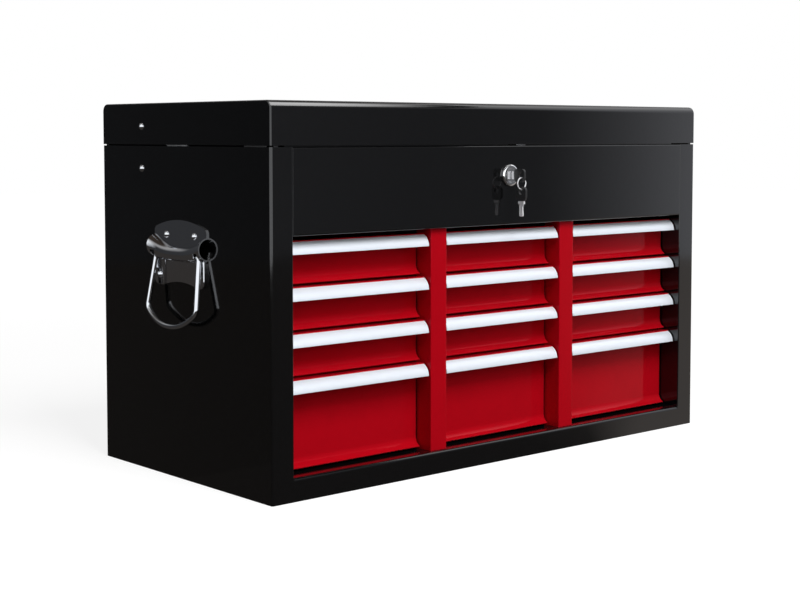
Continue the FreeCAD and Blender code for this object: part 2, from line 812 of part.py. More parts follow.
def key_lying():
    """A key along Y: a blade from the origin towards +Y, and a collar and a holed bow towards -Y."""
    half_blade, half_collar, half_bow = key_blade_width / 2, key_collar_width / 2, key_bow_width / 2
    collar_end = -key_collar_length
    bow_end = collar_end - key_bow_length
    blade = block(-key_blade_sheet / 2, key_blade_sheet / 2, 0, key_blade_length, -half_blade, half_blade)
    tip = [e for e in blade.Edges if near(mid(e).y, key_blade_length)
           and e.BoundBox.XLength > key_blade_sheet / 2 and abs(mid(e).z) > half_blade / 2]
    blade = blade.makeFillet(half_blade / 2, tip)
    collar = block(-key_collar_sheet / 2, key_collar_sheet / 2, collar_end, 0, -half_collar, half_collar)
    bow = block(-key_bow_sheet / 2, key_bow_sheet / 2, bow_end, collar_end, -half_bow, half_bow)
    rims = [e for e in bow.Edges if e.BoundBox.XLength > key_bow_sheet / 2]
    bow = bow.makeFillet(key_bow_corner, rims)
    hole = rod_x(-key_bow_sheet, key_bow_sheet, bow_end + key_hole_inset, 0, key_hole_radius)
    return blade.fuse([collar, bow]).removeSplitter().cut(hole)


def key_in_lock():
    """The key in the lock."""
    key = key_lying()
    key.translate(V(0, front_y - bezel_height - key_stand_off, lock_z))
    return key


def ring_y():
    """The Y place of the hole in the inserted key's bow."""
    tip = front_y - bezel_height - key_stand_off
    return tip - key_collar_length - key_bow_length + key_hole_inset


def ring_top():
    """The level of the ring's wire where it lies in the key's hole."""
    return lock_z - key_hole_radius + ring_wire_radius + ring_play


def key_ring():
    """The wire ring through the holes of both keys."""
    return Part.makeTorus(ring_radius, ring_wire_radius, V(0, ring_y(), ring_top() - ring_radius), V(0, 1, 0))


def spare_hole_z():
    """The level of the hole of the key that hangs from the ring."""
    wire = ring_top() - 2 * ring_radius
    return wire + ring_wire_radius + ring_play - key_hole_radius


def spare_key():
    """The key that hangs from the ring."""
    key = key_lying()
    hole = -key_collar_length - key_bow_length + key_hole_inset
    key.translate(V(0, -hole, 0))
    key.rotate(V(0, 0, 0), V(1, 0, 0), -90)
    key.translate(V(0, ring_y(), spare_hole_z()))
    return key


def handle_point(off, u, z):
    """A point of the left handle: how far it stands off the side, its place along Y and its level."""
    return V(-half_width - off, u, z)


def hood_loft(inset):
    """The pressed hood over the bail's bar: round sections that flare towards both ends."""
    wires = []
    sections = list(zip(hood_stations, hood_radii, hood_centre_offs, hood_centre_rises))
    mirrored = [(-u, radius, off, rise) for u, radius, off, rise in reversed(sections[1:])]
    for u, radius, off, rise in mirrored + sections:
        centre = handle_point(off, u, handle_centre_height + rise)
        wires.append(Part.Wire(Part.Circle(centre, V(0, 1, 0), radius - inset).toShape()))
    return Part.makeLoft(wires, True, False)


def plate_outline():
    """The outline of the handle's plate: a low crown above, square ears below and an arch between them."""
    top = handle_centre_height + plate_crown_height
    shoulder = top - plate_crown_radius + math.sqrt(plate_crown_radius ** 2 - plate_half_width ** 2)
    waist = handle_centre_height + plate_side_rise
    foot = handle_centre_height - ear_drop
    half = [
        (plate_half_width, shoulder), (plate_half_width, waist), (ear_outer, waist - plate_side_step),
        (ear_outer, foot), (ear_inner, foot), (ear_inner, handle_centre_height - plate_arch_end_drop),
    ]
    right = [handle_point(0, u, z) for u, z in half]
    left = [handle_point(0, -u, z) for u, z in reversed(half)]
    edges = [arc_edge(left[-1], handle_point(0, 0, top), right[0])]
    edges += [line_edge(a, b) for a, b in zip(right, right[1:])]
    edges.append(arc_edge(right[-1], handle_point(0, 0, handle_centre_height - plate_arch_drop), left[0]))
    edges += [line_edge(a, b) for a, b in zip(left, left[1:])]
    return edges


def ear(side, inset, height, high):
    """A block with the outline of an ear, set in from the ear's edges and rounded at its outer foot."""
    y0, y1 = sorted((side * (ear_inner + inset), side * (ear_outer - inset)))
    low = handle_centre_height - ear_drop + inset
    boss = block(-half_width - height, -half_width, y0, y1, low, high)
    return fillet_where(boss, ear_corner_radius - inset, lambda e: e.BoundBox.XLength > height / 2
                        and near(mid(e).y, side * (ear_outer - inset)) and near(mid(e).z, low))


def raised_ear(side):
    """A raised ear of the plate, which runs up into the hood, with its rim eased."""
    height = plate_sheet + ear_height
    boss = ear(side, 0, height, handle_centre_height + ear_top_rise)
    rim = [e for e in boss.Edges if near(mid(e).x, -half_width - height)
           and mid(e).z < handle_centre_height]
    return boss.makeChamfer(ear_rim_chamfer, rim)


def handle_plate(side):
    """The pressed plate with its flared hood, the slots for the bail's arms and two raised ears."""
    plate = solid_from(plate_outline(), V(-plate_sheet, 0, 0))
    plate = fillet_where(plate, plate_corner_radius, lambda e: e.BoundBox.XLength > plate_sheet / 2
                         and near(abs(mid(e).y), plate_half_width)
                         and mid(e).z > handle_centre_height + bail_pivot_rise)
    plate = fillet_where(plate, ear_corner_radius, lambda e: e.BoundBox.XLength > plate_sheet / 2
                         and near(abs(mid(e).y), ear_outer)
                         and near(mid(e).z, handle_centre_height - ear_drop))
    outside = block(-half_width - overrun, -half_width, -box_depth, box_depth, 0, box_height)
    hood = hood_loft(0).common(outside)
    ears = [raised_ear(s) for s in (-1, 1)]
    mouth_radius, mouth_z = hood_radii[-1] - hood_sheet, handle_centre_height + hood_centre_rises[-1]
    mouths = [rod_y(start, start + overrun, -half_width, mouth_z, mouth_radius)
              for start in (-hood_stations[-1] - overrun, hood_stations[-1])]
    hollows = [ear(s, plate_sheet, ear_height, handle_centre_height - ear_hollow_drop) for s in (-1, 1)]
    plate = plate.fuse([hood] + ears).removeSplitter().cut([hood_loft(hood_sheet)] + mouths + hollows)
    half_slot = bail_wire_radius + slot_margin
    pivot_z = handle_centre_height + bail_pivot_rise
    slots = []
    for s in (-1, 1):
        ends = sorted((s * (bail_top_half - half_slot), s * (bail_top_half + half_slot + slot_flare)))
        slots.append(block(-half_width - overrun, -half_width - plate_sheet, ends[0], ends[1],
                           handle_centre_height - slot_bottom_drop, pivot_z + half_slot))
    holes = [rod_x(-half_width - overrun, -half_width + overrun, u, z, rivet_shank_radius + rivet_fit)
             for u, z in handle_rivet_places]
    return turned_to(plate.cut(slots + holes), side)


def rounded_path(points, radii):
    """A planar path of straight runs joined by tangent arcs, one radius for each inner point."""
    edges = []
    last = points[0]
    for n in range(1, len(points) - 1):
        before, here, after = points[n - 1], points[n], points[n + 1]
        toward = (before - here).normalize()
        away = (after - here).normalize()
        half = toward.getAngle(away) / 2
        reach = radii[n - 1] / math.tan(half)
        start, end = here + toward * reach, here + away * reach
        middle = (toward + away).normalize()
        crown = here + middle * (radii[n - 1] / math.sin(half) - radii[n - 1])
        edges.append(line_edge(last, start))
        edges.append(arc_edge(start, crown, end))
        last = end
    edges.append(line_edge(last, points[-1]))
    return Part.Wire(edges)


def bail(side):
    """The wire handle: a closed loop whose straight bar turns inside the hood."""
    lean = math.radians(bail_lean_deg)
    pivot_z = handle_centre_height + bail_pivot_rise

    def at(u, drop):
        return handle_point(bail_pivot_off + drop * math.sin(lean), u, pivot_z - drop * math.cos(lean))

    points = [at(0, 0), at(bail_top_half, 0), at(bail_shoulder_half, bail_shoulder_drop),
              at(bail_foot_half, bail_depth), at(0, bail_depth)]
    path = rounded_path(points, (bail_top_bend, bail_shoulder_bend, bail_foot_bend))
    circle = Part.Wire(Part.Circle(points[0], V(0, 1, 0), bail_wire_radius).toShape())
    half = path.makePipeShell([circle], True, False)
    whole = half.fuse(half.mirror(V(0, 0, 0), V(0, 1, 0))).removeSplitter()
    return turned_to(whole, side)


def handle_rivets():
    """The eight rivets of the two handles."""
    solids = []
    for u, z in handle_rivet_places:
        seat = plate_sheet + (ear_height if z < handle_centre_height else 0)
        rivet = rivet_x(-half_width - seat, -inner_half, u, z, 0, 0)
        solids += [turned_to(rivet, side) for side in (-1, 1)]
    return Part.makeCompound(solids)


def all_parts():
    """Every sub-part by its name."""
    parts = {
        "body_shell": body_shell(),
        "base_pan": base_pan(),
        "upper_panel": upper_panel(),
        "compartment_floor": compartment_floor(),
        "lid_shell": lid_shell(),
        "lid_catch": lid_catch(),
        "hinge_leaf_body": hinge_leaf(0, -1),
        "hinge_leaf_lid": hinge_leaf(1, 1),
        "hinge_pin": hinge_pin(),
        "stay_body_rivets": stay_body_rivets(),
        "stay_lid_rivets": stay_lid_rivets(),
        "lock_housing": lock_housing(),
        "lock_nut": lock_nut(),
        "lock_plug": lock_plug(),
        "lock_cam": lock_cam(),
        "key_in_lock": key_in_lock(),
        "key_ring": key_ring(),
        "spare_key": spare_key(),
        "handle_rivets": handle_rivets(),
    }
    for name, side in (("left", -1), ("right", 1)):
        parts["liner_" + name] = liner(side)
        parts["partition_" + name] = partition(side)
        parts["centre_post_" + name] = centre_post(side)
        parts["stay_lower_" + name] = stay_lower(side)
        parts["stay_upper_" + name] = stay_upper(side)
        parts["handle_plate_" + name] = handle_plate(side)
        parts["bail_" + name] = bail(side)
    for column in columns:
        parts["runners_" + column] = runners(column)
        for row in rows:
            parts[f"drawer_{column}_{row}_tray"] = drawer_tray(column, row)
            parts[f"drawer_{column}_{row}_pull"] = drawer_pull(column, row)
    return parts


os.makedirs("parts", exist_ok=True)
for name, shape in all_parts().items():
    shape.exportStep(os.path.join("parts", name + ".step"))
    print(name, len(shape.Solids), "valid" if shape.isValid() else "NOT VALID")
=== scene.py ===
"""Looks of the portable tool box: enamelled steel, anodised pulls, chrome handles and a keyed cam lock."""
import json
import logging
import math
from dataclasses import dataclass
from enum import Enum
from typing import Any, Sequence

import bmesh
import bpy
from mathutils import Matrix, Vector

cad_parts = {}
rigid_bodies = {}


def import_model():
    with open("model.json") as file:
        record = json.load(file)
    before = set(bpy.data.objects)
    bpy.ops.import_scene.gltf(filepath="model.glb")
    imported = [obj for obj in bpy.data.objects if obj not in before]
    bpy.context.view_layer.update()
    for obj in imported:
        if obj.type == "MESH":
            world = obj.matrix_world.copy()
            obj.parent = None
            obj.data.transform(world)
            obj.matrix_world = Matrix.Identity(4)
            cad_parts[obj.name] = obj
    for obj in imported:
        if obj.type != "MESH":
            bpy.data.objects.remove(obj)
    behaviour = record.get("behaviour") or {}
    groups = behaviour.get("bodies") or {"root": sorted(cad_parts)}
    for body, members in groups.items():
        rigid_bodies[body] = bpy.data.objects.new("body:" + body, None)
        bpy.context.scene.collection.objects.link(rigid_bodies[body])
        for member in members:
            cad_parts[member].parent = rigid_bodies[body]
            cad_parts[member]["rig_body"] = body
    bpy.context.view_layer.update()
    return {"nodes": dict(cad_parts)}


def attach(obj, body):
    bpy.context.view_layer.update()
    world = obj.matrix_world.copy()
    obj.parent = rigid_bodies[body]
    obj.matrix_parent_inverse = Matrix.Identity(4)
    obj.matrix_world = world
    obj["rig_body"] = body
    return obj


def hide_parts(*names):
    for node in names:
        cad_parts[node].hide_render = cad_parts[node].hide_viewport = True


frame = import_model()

log = logging.getLogger("tool_box")
logging.basicConfig(level=logging.INFO, format="%(name)s: %(message)s")

Colour = tuple[float, float, float]
Span = tuple[float, float]

MM = 0.001
MERGE = 0.001 * MM
FLAT = math.radians(0.6)
SHARP = math.radians(28)
ROUNDED = math.radians(50)
FULL_TURN = 2 * math.pi
UNIT_HALF = 0.5
BLACK = (0.0, 0.0, 0.0)
WHITE = (1.0, 1.0, 1.0)


class Side(Enum):
    """The two sides of the box, as the sign of X."""

    LEFT = -1
    RIGHT = 1

    @property
    def word(self) -> str:
        """The side's word in the names of pieces."""
        return self.name.lower()


class Column(Enum):
    """The three columns of drawers."""

    LEFT = "left"
    MIDDLE = "middle"
    RIGHT = "right"


ROWS = (1, 2, 3, 4)


@dataclass(frozen=True)
class Pattern:
    """A noise: patches in a metre, finer layers, their strength, and the smooth step taken on it, if any."""

    per_metre: float
    layers: float
    strength: float
    step: Span | None = None


class Wire:
    """A number that flows between shader nodes, so that sums on it read as Python."""

    def __init__(self, sheet: "NodeSheet", socket: bpy.types.NodeSocket) -> None:
        """Keeps the socket and the sheet that new nodes go on."""
        self.sheet = sheet
        self.socket = socket

    def _math(self, operation: str, first: "float | Wire", second: "float | Wire") -> "Wire":
        """Adds a Math node.

        Args:
            operation: The node's operation.
            first: Its first number.
            second: Its second number.

        Returns:
            The result as a new wire.
        """
        node = self.sheet.node("ShaderNodeMath", {"operation": operation}, {0: first, 1: second})
        return Wire(self.sheet, node.outputs[0])

    def __add__(self, other: "float | Wire") -> "Wire":
        """self + other."""
        return self._math("ADD", self, other)

    __radd__ = __add__

    def __mul__(self, other: "float | Wire") -> "Wire":
        """self * other."""
        return self._math("MULTIPLY", self, other)

    __rmul__ = __mul__

    def __sub__(self, other: "float | Wire") -> "Wire":
        """self - other."""
        return self._math("SUBTRACT", self, other)

    def __rsub__(self, other: "float | Wire") -> "Wire":
        """other - self."""
        return self._math("SUBTRACT", other, self)

    def __truediv__(self, other: "float | Wire") -> "Wire":
        """self / other."""
        return self._math("DIVIDE", self, other)

    def __pow__(self, other: "float | Wire") -> "Wire":
        """self ** other."""
        return self._math("POWER", self, other)

    def over(self, low: float, high: float) -> "Wire":
        """A smooth step: 0 below low and 1 above high.

        Args:
            low: Where the step starts.
            high: Where the step ends.

        Returns:
            The step as a wire.
        """
        node = self.sheet.node(
            "ShaderNodeMapRange", {"interpolation_type": "SMOOTHSTEP"},
            {"Value": self, "From Min": low, "From Max": high, "To Min": 0.0, "To Max": 1.0})
        return Wire(self.sheet, node.outputs["Result"])


def length(*parts: Wire) -> Wire:
    """The length of a vector from its parts."""
    total = parts[0] * parts[0]
    for part in parts[1:]:
        total = total + part * part
    return total ** 0.5


class NodeSheet:
    """The node tree of one material or of the world."""

    def __init__(self, tree: bpy.types.NodeTree) -> None:
        """Clears the tree and works on it."""
        self.tree = tree
        tree.nodes.clear()

    def node(self, kind: str, settings: dict[str, Any] | None = None,
             inputs: dict[Any, Any] | None = None) -> bpy.types.Node:
        """Adds a node.

        Args:
            kind: The node's type.
            settings: Its own settings, and stops for a colour ramp, which are set first.
            inputs: Values or links by socket name or number.

        Returns:
            The new node.
        """
        made = self.tree.nodes.new(kind)
        for key, value in (settings or {}).items():
            if key == "stops":
                self._set_stops(made.color_ramp, value)
            else:
                setattr(made, key, value)
        for key, value in (inputs or {}).items():
            if isinstance(value, Wire):
                value = value.socket
            if isinstance(value, bpy.types.NodeSocket):
                self.tree.links.new(value, made.inputs[key])
            else:
                made.inputs[key].default_value = value
        return made

    @staticmethod
    def _set_stops(ramp: bpy.types.ColorRamp, stops: Sequence[tuple[float, Sequence[float]]]) -> None:
        """Writes the stops of a colour ramp."""
        while len(ramp.elements) > 1:
            ramp.elements.remove(ramp.elements[-1])
        for number, (place, colour) in enumerate(stops):
            stop = ramp.elements[0] if number == 0 else ramp.elements.new(place)
            stop.position = place
            stop.color = (*colour, 1.0)

    def wire(self, node: bpy.types.Node, output: "str | int" = 0) -> Wire:
        """One output of a node as a wire."""
        return Wire(self, node.outputs[output])

    def place(self) -> bpy.types.NodeSocket:
        """The piece's own coordinates, in metres."""
        return self.node("ShaderNodeTexCoord").outputs["Object"]

    def axes(self) -> list[Wire]:
        """The piece's coordinates X, Y and Z, each as a wire."""
        parts = self.node("ShaderNodeSeparateXYZ", None, {"Vector": self.place()})
        return [self.wire(parts, number) for number in range(3)]

    def stretched(self, scale: Sequence[float]) -> bpy.types.NodeSocket:
        """The piece's coordinates, multiplied along each axis."""
        node = self.node("ShaderNodeMapping", {"vector_type": "POINT"},
                         {"Vector": self.place(), "Scale": tuple(scale)})
        return node.outputs["Vector"]

    def noise(self, pattern: Pattern, vector: bpy.types.NodeSocket | None = None) -> Wire:
        """Noise from 0 to 1, with the pattern's step taken on it.

        Args:
            pattern: What the noise is like.
            vector: Where the noise is read, or the piece's coordinates.

        Returns:
            The noise as a wire.
        """
        node = self.node("ShaderNodeTexNoise", {"noise_dimensions": "3D"},
                         {"Vector": vector or self.place(), "Scale": pattern.per_metre,
                          "Detail": pattern.layers, "Roughness": pattern.strength})
        plain = Wire(self, node.outputs["Fac"])
        return plain.over(*pattern.step) if pattern.step else plain

    def blend(self, factor: "float | Wire", first: Any, second: Any) -> bpy.types.NodeSocket:
        """Mixes two colours.

        Args:
            factor: The share of the second colour.
            first: The first colour or link.
            second: The second colour or link.

        Returns:
            The mixed colour.
        """
        made = self.node("ShaderNodeMix", {"data_type": "RGBA"}, {0: factor})
        for socket, colour in ((made.inputs[6], first), (made.inputs[7], second)):
            if isinstance(colour, bpy.types.NodeSocket):
                self.tree.links.new(colour, socket)
            else:
                socket.default_value = (*colour, 1.0)
        return made.outputs[2]

    def bump(self, height: Wire, depth: float) -> bpy.types.NodeSocket:
        """A bumped normal.

        Args:
            height: The height from 0 to 1.
            depth: What a height of 1 stands for, in metres.

        Returns:
            The normal.
        """
        node = self.node("ShaderNodeBump", None, {"Height": height, "Distance": depth, "Strength": 1.0})
        return node.outputs["Normal"]

    def edge_wear(self) -> Wire:
        """1 on the narrow faces along a piece's edges and 0 elsewhere, as the mesh makers marked them."""
        node = self.node("ShaderNodeAttribute", {"attribute_name": "edge"})
        return Wire(self, node.outputs["Fac"])

    def seen(self) -> Wire:
        """1 where the camera looks, straight or by way of gloss or glass, and 0 for diffuse light."""
        path = self.node("ShaderNodeLightPath")
        return self.wire(path, "Is Camera Ray") + self.wire(path, "Is Glossy Ray") \
            + self.wire(path, "Is Transmission Ray")

    def surface(self, inputs: dict[str, Any]) -> None:
        """Ends the sheet in one Principled shader with these inputs."""
        shader = self.node("ShaderNodeBsdfPrincipled", None, inputs)
        self.node("ShaderNodeOutputMaterial", None, {"Surface": shader.outputs[0]})

    def glow(self, colour: Any, strength: "float | Wire") -> None:
        """Ends the sheet in one Emission shader."""
        shader = self.node("ShaderNodeEmission", None, {"Color": colour, "Strength": strength})
        self.node("ShaderNodeOutputMaterial", None, {"Surface": shader.outputs[0]})


def new_material(name: str) -> tuple[bpy.types.Material, NodeSheet]:
    """An empty node material and the sheet that its nodes go on."""
    material = bpy.data.materials.new(name)
    material.use_nodes = True
    return material, NodeSheet(material.node_tree)


def scaled(colour: Colour, factor: float, lift: float = 0.0) -> Colour:
    """A colour times a factor, plus a lift."""
    return tuple(part * factor + lift for part in colour)


@dataclass(frozen=True)
class Enamel:
    """Sprayed gloss enamel on steel, with orange peel, faint handling marks and thin paint on its edges."""

    name: str
    colour: Colour
    edge_colour: Colour
    tint: Colour = WHITE
    coat: float = 0.25
    coat_gloss: float = 0.04
    ior: float = 1.5
    gloss: float = 0.07
    peel: Pattern = Pattern(260.0, 2.0, 0.45)
    peel_depth: float = 0.010 * MM
    smudge: Pattern = Pattern(16.0, 4.0, 0.6, (0.48, 0.78))
    smudge_gloss: float = 0.035
    grime: Pattern = Pattern(41.6, 5.0, 0.65, (0.40, 0.85))
    grime_share: float = 0.35
    grime_dim: float = 0.78
    grime_gloss: float = 0.02
    speck: Pattern = Pattern(1690.0, 1.0, 0.5, (0.74, 0.80))
    speck_share: float = 0.10
    speck_factor: float = 1.5
    speck_lift: float = 0.01
    speck_gloss: float = 0.1
    wear: Pattern = Pattern(130.0, 3.0, 0.6, (0.35, 0.70))
    wear_share: float = 0.55

    def material(self) -> bpy.types.Material:
        """Builds the material."""
        made, sheet = new_material(self.name)
        peel, smudge, grime, speck = (
            sheet.noise(p) for p in (self.peel, self.smudge, self.grime, self.speck))
        worn = sheet.edge_wear() * sheet.noise(self.wear)
        tone = sheet.blend(grime * self.grime_share, self.colour, scaled(self.colour, self.grime_dim))
        tone = sheet.blend(worn * self.wear_share, tone, self.edge_colour)
        tone = sheet.blend(speck * self.speck_share, tone,
                           scaled(self.colour, self.speck_factor, self.speck_lift))
        sheet.surface({
            "Base Color": tone,
            "Roughness": (self.gloss + smudge * self.smudge_gloss + grime * self.grime_gloss
                          + speck * self.speck_gloss),
            "Normal": sheet.bump(peel, self.peel_depth),
            "Coat Weight": self.coat,
            "Coat Roughness": self.coat_gloss,
            "Specular Tint": (*self.tint, 1.0),
            "IOR": self.ior,
        })
        return made


@dataclass(frozen=True)
class SatinEnamel:
    """The thin satin paint inside the box, with fine grain and overspray."""

    name: str
    colour: Colour
    gloss: float = 0.38
    grain: Pattern = Pattern(900.0, 3.0, 0.6)
    grain_gloss: float = 0.12
    grain_depth: float = 0.012 * MM
    cloud: Pattern = Pattern(22.0, 4.0, 0.6, (0.3, 0.8))
    cloud_share: float = 0.5
    cloud_factor: float = 1.6
    cloud_gloss: float = 0.06

    def material(self) -> bpy.types.Material:
        """Builds the material."""
        made, sheet = new_material(self.name)
        grain, cloud = sheet.noise(self.grain), sheet.noise(self.cloud)
        sheet.surface({
            "Base Color": sheet.blend(cloud * self.cloud_share, self.colour,
                                      scaled(self.colour, self.cloud_factor)),
            "Roughness": self.gloss + grain * self.grain_gloss + cloud * self.cloud_gloss,
            "Normal": sheet.bump(grain, self.grain_depth),
        })
        return made


@dataclass(frozen=True)
class Chrome:
    """Bright plated steel, with a slight waviness from the press and fine wipe marks."""

    name: str
    colour: Colour
    gloss: float
    wave: Pattern = Pattern(110.0, 1.0, 0.4)
    wave_depth: float = 0.02 * MM
    wipe: Pattern = Pattern(420.0, 4.0, 0.7, (0.45, 0.85))
    wipe_gloss: float = 0.035
    haze: Pattern = Pattern(60.0, 3.0, 0.55, (0.5, 0.9))
    haze_share: float = 0.35
    haze_dim: float = 0.84
    haze_gloss: float = 0.05

    def material(self) -> bpy.types.Material:
        """Builds the material."""
        made, sheet = new_material(self.name)
        wave, wipe, haze = (sheet.noise(p) for p in (self.wave, self.wipe, self.haze))
        sheet.surface({
            "Base Color": sheet.blend(haze * self.haze_share, self.colour,
                                      scaled(self.colour, self.haze_dim)),
            "Metallic": 1.0,
            "Roughness": self.gloss + wipe * self.wipe_gloss + haze * self.haze_gloss,
            "Normal": sheet.bump(wave, self.wave_depth),
        })
        return made


@dataclass(frozen=True)
class Anodised:
    """Extruded aluminium with a clear satin skin: fine die lines run along X."""

    name: str
    colour: Colour
    metal: float = 0.35
    gloss: float = 0.33
    line: Pattern = Pattern(1.0, 3.0, 0.6)
    line_scale: tuple[float, float, float] = (14.0, 2600.0, 2600.0)
    line_share: float = 0.30
    line_dim: float = 0.90
    line_gloss: float = 0.10
    line_depth: float = 0.006 * MM
    grain: Pattern = Pattern(1500.0, 2.0, 0.5)
    grain_height: float = 0.4
    grain_gloss: float = 0.04
    stain: Pattern = Pattern(45.0, 4.0, 0.6, (0.45, 0.85))
    stain_share: float = 0.25
    stain_dim: float = 0.93
    nick: Pattern = Pattern(330.0, 2.0, 0.5, (0.52, 0.66))
    nick_gloss: float = 0.12

    def material(self) -> bpy.types.Material:
        """Builds the material."""
        made, sheet = new_material(self.name)
        line = sheet.noise(self.line, sheet.stretched(self.line_scale))
        grain, stain = sheet.noise(self.grain), sheet.noise(self.stain)
        nick = sheet.edge_wear() * sheet.noise(self.nick)
        tone = sheet.blend(line * self.line_share, self.colour, scaled(self.colour, self.line_dim))
        sheet.surface({
            "Base Color": sheet.blend(stain * self.stain_share, tone, scaled(self.colour, self.stain_dim)),
            "Metallic": self.metal,
            "Roughness": (self.gloss + line * self.line_gloss + grain * self.grain_gloss
                          - nick * self.nick_gloss),
            "Normal": sheet.bump(line + grain * self.grain_height, self.line_depth),
        })
        return made


@dataclass(frozen=True)
class PlatedSteel:
    """Zinc or nickel plating: dull, slightly mottled, with rolling lines."""

    name: str
    colour: Colour
    metal: float
    gloss: float
    mottle: Pattern = Pattern(140.0, 4.0, 0.6)
    mottle_step: Span = (0.3, 0.7)
    mottle_dim: float = 0.78
    mottle_gloss: float = 0.22
    mottle_height: float = 0.5
    rolled: Pattern = Pattern(1.0, 3.0, 0.6)
    rolled_scale: tuple[float, float, float] = (1100.0, 18.0, 1100.0)
    rolled_gloss: float = 0.08
    rolled_depth: float = 0.008 * MM

    def material(self) -> bpy.types.Material:
        """Builds the material."""
        made, sheet = new_material(self.name)
        mottle = sheet.noise(self.mottle)
        rolled = sheet.noise(self.rolled, sheet.stretched(self.rolled_scale))
        sheet.surface({
            "Base Color": sheet.blend(mottle.over(*self.mottle_step), self.colour,
                                      scaled(self.colour, self.mottle_dim)),
            "Metallic": self.metal,
            "Roughness": self.gloss + mottle * self.mottle_gloss + rolled * self.rolled_gloss,
            "Normal": sheet.bump(rolled + mottle * self.mottle_height, self.rolled_depth),
        })
        return made


@dataclass(frozen=True)
class MouldedPlastic:
    """The moulded head of a key: near black, with a fine spark texture and rubbed edges."""

    name: str
    colour: Colour
    gloss: float = 0.30
    spark: Pattern = Pattern(2600.0, 2.0, 0.6)
    spark_gloss: float = 0.14
    spark_depth: float = 0.02 * MM
    rub: Pattern = Pattern(240.0, 3.0, 0.6, (0.5, 0.8))
    rub_edge: float = 0.5
    rub_patch: float = 0.3
    rub_share: float = 0.4
    rub_factor: float = 2.2
    rub_gloss: float = 0.06

    def material(self) -> bpy.types.Material:
        """Builds the material."""
        made, sheet = new_material(self.name)
        spark = sheet.noise(self.spark)
        rub = sheet.edge_wear() * self.rub_edge + sheet.noise(self.rub) * self.rub_patch
        sheet.surface({
            "Base Color": sheet.blend(rub * self.rub_share, self.colour,
                                      scaled(self.colour, self.rub_factor)),
            "Roughness": self.gloss + spark * self.spark_gloss - rub * self.rub_gloss,
            "Normal": sheet.bump(spark, self.spark_depth),
        })
        return made


@dataclass(frozen=True)
class Finishes:
    """Every finish of the box, built once."""

    black: bpy.types.Material
    inner: bpy.types.Material
    red: bpy.types.Material
    chrome: bpy.types.Material
    bezel: bpy.types.Material
    pull: bpy.types.Material
    zinc: bpy.types.Material
    nickel: bpy.types.Material
    plastic: bpy.types.Material

    @classmethod
    def build(cls) -> "Finishes":
        """Builds all materials."""
        return cls(
            black=Enamel("black_enamel", colour=(0.0031, 0.0031, 0.0034),
                         edge_colour=(0.03, 0.03, 0.032)).material(),
            inner=SatinEnamel("inner_paint", colour=(0.010, 0.010, 0.011)).material(),
            red=Enamel("red_enamel", colour=(0.42, 0.0021, 0.0080), edge_colour=(0.50, 0.02, 0.03),
                       tint=(1.0, 0.08, 0.16), coat=0.0, ior=1.36).material(),
            chrome=Chrome("chrome", colour=(0.56, 0.57, 0.59), gloss=0.045).material(),
            bezel=Chrome("lock_chrome", colour=(0.97, 0.975, 0.98), gloss=0.09).material(),
            pull=Anodised("pull_metal", colour=(0.88, 0.93, 1.0)).material(),
            zinc=PlatedSteel("zinc", colour=(0.36, 0.365, 0.37), metal=1.0, gloss=0.30).material(),
            nickel=PlatedSteel("key_nickel", colour=(0.94, 0.94, 0.96), metal=0.25, gloss=0.20).material(),
            plastic=MouldedPlastic("key_plastic", colour=(0.016, 0.016, 0.017)).material(),
        )


def new_object(name: str, shape: bmesh.types.BMesh, material: bpy.types.Material) -> bpy.types.Object:
    """Puts a new object with one material in the scene.

    Args:
        name: Its name.
        shape: The bmesh with its faces, which is freed.
        material: Its material.

    Returns:
        The new object.
    """
    mesh = bpy.data.meshes.new(name)
    shape.to_mesh(mesh)
    shape.free()
    mesh.materials.append(material)
    made = bpy.data.objects.new(name, mesh)
    bpy.context.scene.collection.objects.link(made)
    return made


def finished(name: str, shape: bmesh.types.BMesh, body: str, material: bpy.types.Material,
             smooth_angle: float) -> bpy.types.Object:
    """Turns a bmesh into a piece of the box.

    Args:
        name: The piece's name.
        shape: The bmesh, which is freed.
        body: The body that the piece rides on.
        material: The finish.
        smooth_angle: Edges that turn by more than this stay sharp.

    Returns:
        The new object.
    """
    piece = new_object(name, shape, material)
    for face in piece.data.polygons:
        face.use_smooth = True
    piece.data.set_sharp_from_angle(angle=smooth_angle)
    flats = piece.modifiers.new("flats", "WEIGHTED_NORMAL")
    flats.mode = "FACE_AREA"
    flats.keep_sharp = True
    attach(piece, body)
    log.info("%s on %s, %d faces", name, body, len(piece.data.polygons))
    return piece


def soften(shape: bmesh.types.BMesh, width: float, segments: int = 2) -> None:
    """Rounds the sharp edges and marks the new faces with the edge attribute.

    Args:
        shape: The bmesh to change.
        width: The width of the rounding, in metres.
        segments: How many faces go round it.
    """
    layer = shape.faces.layers.float.get("edge") or shape.faces.layers.float.new("edge")
    edges = [e for e in shape.edges if len(e.link_faces) == 2 and e.calc_face_angle(0.0) > SHARP]
    made = bmesh.ops.bevel(shape, geom=edges, offset=width, offset_type="OFFSET", segments=segments,
                           profile=0.5, affect="EDGES", material=-1, clamp_overlap=True)
    for face in made["faces"]:
        face[layer] = 1.0


def cad_copy(node: str) -> bmesh.types.BMesh:
    """A joined-up copy of a CAD node, with its flat areas as single faces."""
    shape = bmesh.new()
    shape.from_mesh(frame["nodes"][node].data)
    bmesh.ops.remove_doubles(shape, verts=shape.verts, dist=MERGE)
    bmesh.ops.dissolve_limit(shape, angle_limit=FLAT, use_dissolve_boundaries=False, verts=shape.verts,
                             edges=shape.edges, delimit={"NORMAL"})
    return shape


